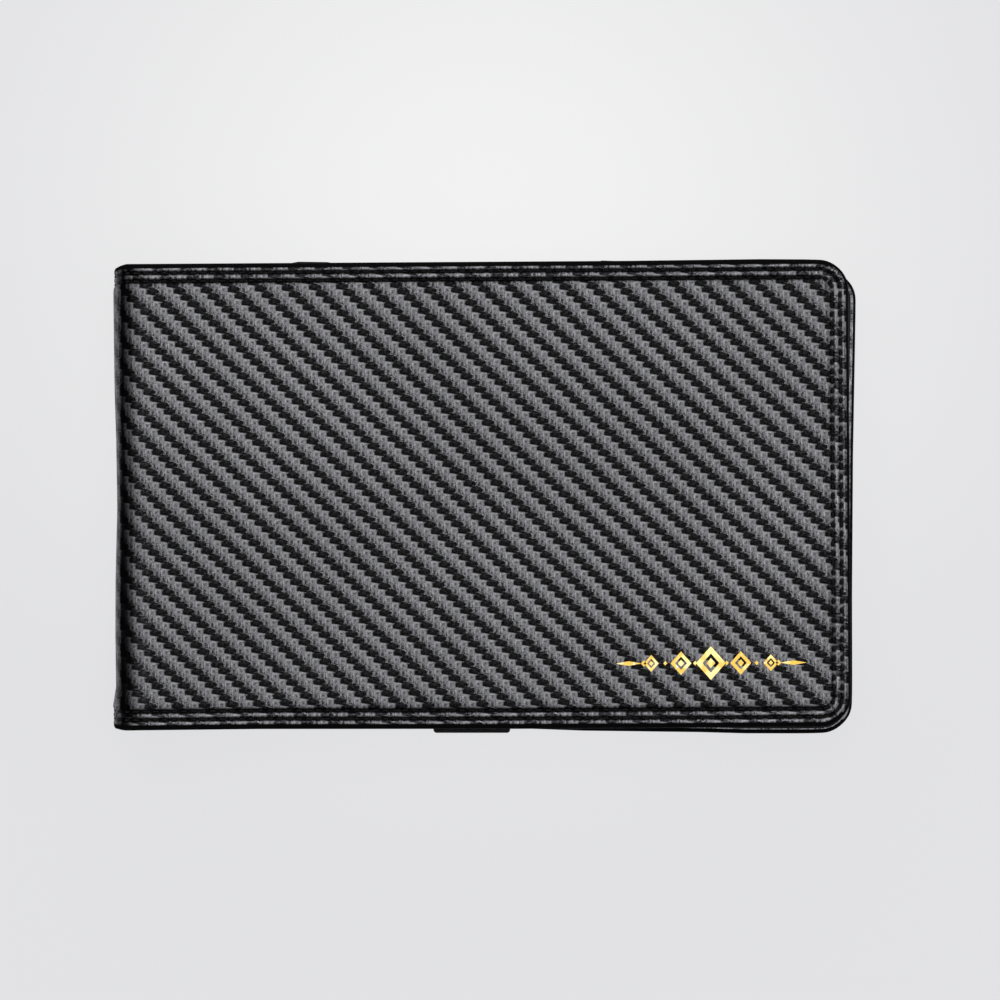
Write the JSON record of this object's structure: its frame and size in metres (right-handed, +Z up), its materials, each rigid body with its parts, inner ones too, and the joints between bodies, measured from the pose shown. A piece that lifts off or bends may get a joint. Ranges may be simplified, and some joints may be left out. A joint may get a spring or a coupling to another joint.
{
  "type": "bifold wallet money clip",
  "caption": "Bifold carbon-look wallet with a hinged, cam-sprung steel money clip on its spine, card slots, a see-through window pocket and an outside pocket with a pull strap.",
  "frame": {"origin": "centre of the closed wallet's box in plan, on the surface that it lies on", "axes": "+Z up through the rear cover to the front one, +X from the fold to the free edge, +Y to the top of the covers"},
  "size_m": [0.1094, 0.0698, 0.0177],
  "materials": {
    "carbon_leather": "glossy, printed and embossed with a 2/2 twill weave",
    "pocket_leather": "fine-grained, satin",
    "strap_leather": "smooth, satin",
    "lining": "plain-woven, matte",
    "board": "plain grey board",
    "clear_film": "clear, glossy",
    "polished_steel": "nickel-plated, polished",
    "spring_steel": "plain spring steel"
  },
  "bodies": {
    "rear_cover": {"rear_skin": "carbon_leather", "rear_board": "board", "rear_lining": "lining", "slip_pocket": "pocket_leather", "rear_pocket_seams": "pocket_leather", "id_window_frame": "pocket_leather", "id_window_film": "clear_film", "quick_pocket": "carbon_leather", "quick_pocket_seams": "pocket_leather"},
    "spine": {"spine_skin": "carbon_leather", "spine_board": "board", "spine_lining": "lining", "clip_backing_plate": "spring_steel", "clip_base": "polished_steel", "clip_rivets": "polished_steel", "cam_spring": "spring_steel", "hinge_pin": "polished_steel"},
    "front_cover": {"front_skin": "carbon_leather", "front_board": "board", "front_lining": "lining", "front_pocket_1": "pocket_leather", "front_pocket_2": "pocket_leather", "front_pocket_3": "pocket_leather", "front_pocket_seams": "pocket_leather"},
    "clip_arm": {"clip_arm": "polished_steel"},
    "pull_strap": {"pull_strap": "strap_leather"}
  },
  "joints": [
    {"name": "spine_fold", "type": "hinge", "parent": "rear_cover", "child": "spine", "pos_m": [-0.05406, 0, 0.00244], "axis": [0, -1, 0], "range_deg": [0, 90]},
    {"name": "cover_fold", "type": "hinge", "parent": "spine", "child": "front_cover", "pos_m": [-0.05406, 0, 0.01701], "axis": [0, -1, 0], "range_deg": [0, 90]},
    {"name": "clip_arm_hinge", "type": "hinge", "parent": "spine", "child": "clip_arm", "pos_m": [-0.05045, -0.02825, 0.00935], "axis": [0, 0, -1], "range_deg": [0, 90], "deforming": ["cam_spring"]},
    {"name": "strap_pull", "type": "slide", "parent": "rear_cover", "child": "pull_strap", "axis": [0, -1, 0], "range_m": [0, 0.02]}
  ],
  "couplings": [
    {"joint": "cover_fold", "follows": "spine_fold", "ratio": 1}
  ]
}
